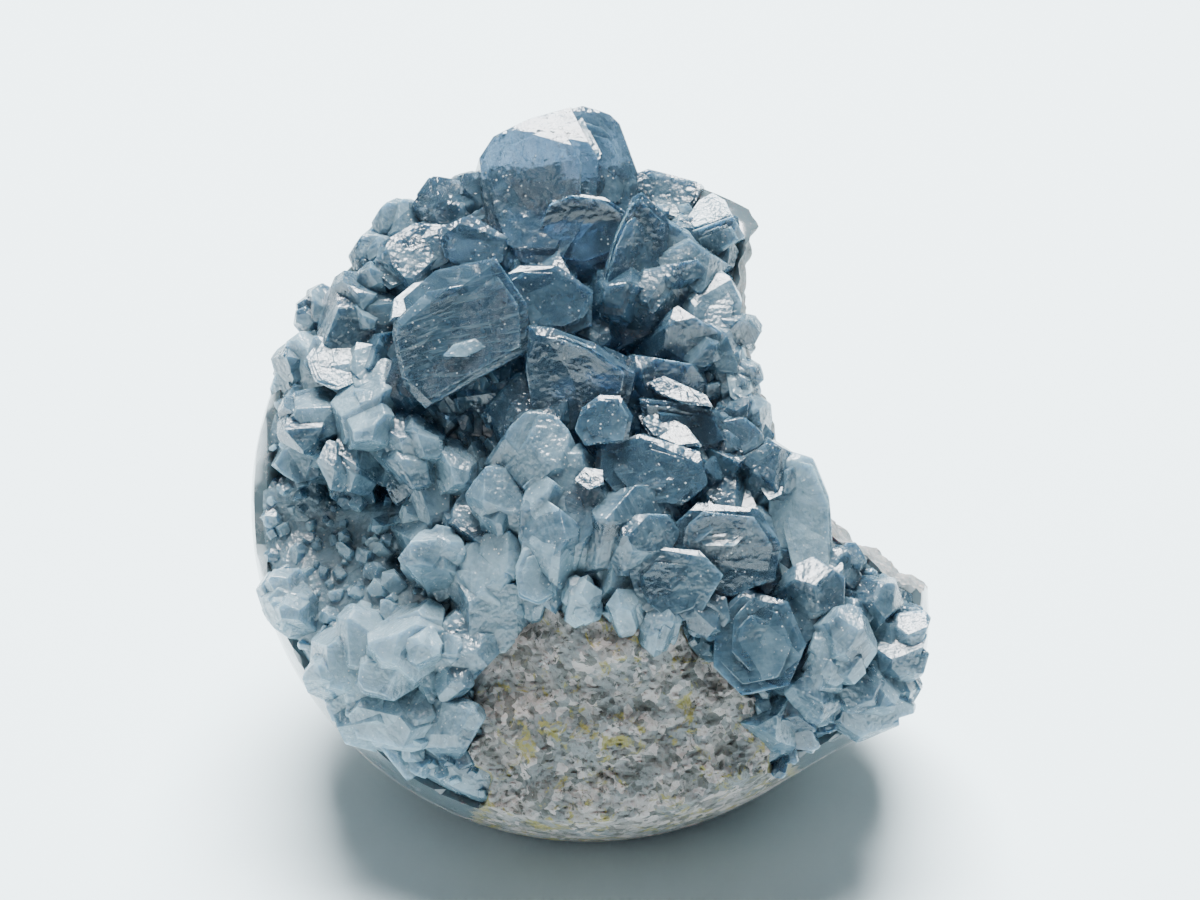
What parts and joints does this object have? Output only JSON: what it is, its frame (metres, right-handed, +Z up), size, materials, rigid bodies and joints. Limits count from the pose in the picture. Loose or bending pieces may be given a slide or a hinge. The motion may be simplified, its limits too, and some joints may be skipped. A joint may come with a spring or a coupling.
{
  "type": "celestite geode",
  "caption": "Polished rounded celestite nodule, broken open in front and lined with blue-grey tabular crystals, with a rough rind patch; rests on a small flat.",
  "frame": {"origin": "centre of the bounding box's underside, level with the small flat that the geode rests on", "axes": "+Z up, the crystal side faces -Y and leans back, +X is to the viewer's right"},
  "size_m": [0.0962, 0.0825, 0.0966],
  "materials": {
    "matrix_stone": "polished dome, rough granular rind and broken side",
    "celestite": "cloudy and half see-through, with glossy cleavage faces"
  },
  "bodies": {
    "root": {"matrix_shell": "matrix_stone", "crystal_crust": "celestite"}
  },
  "joints": []
}
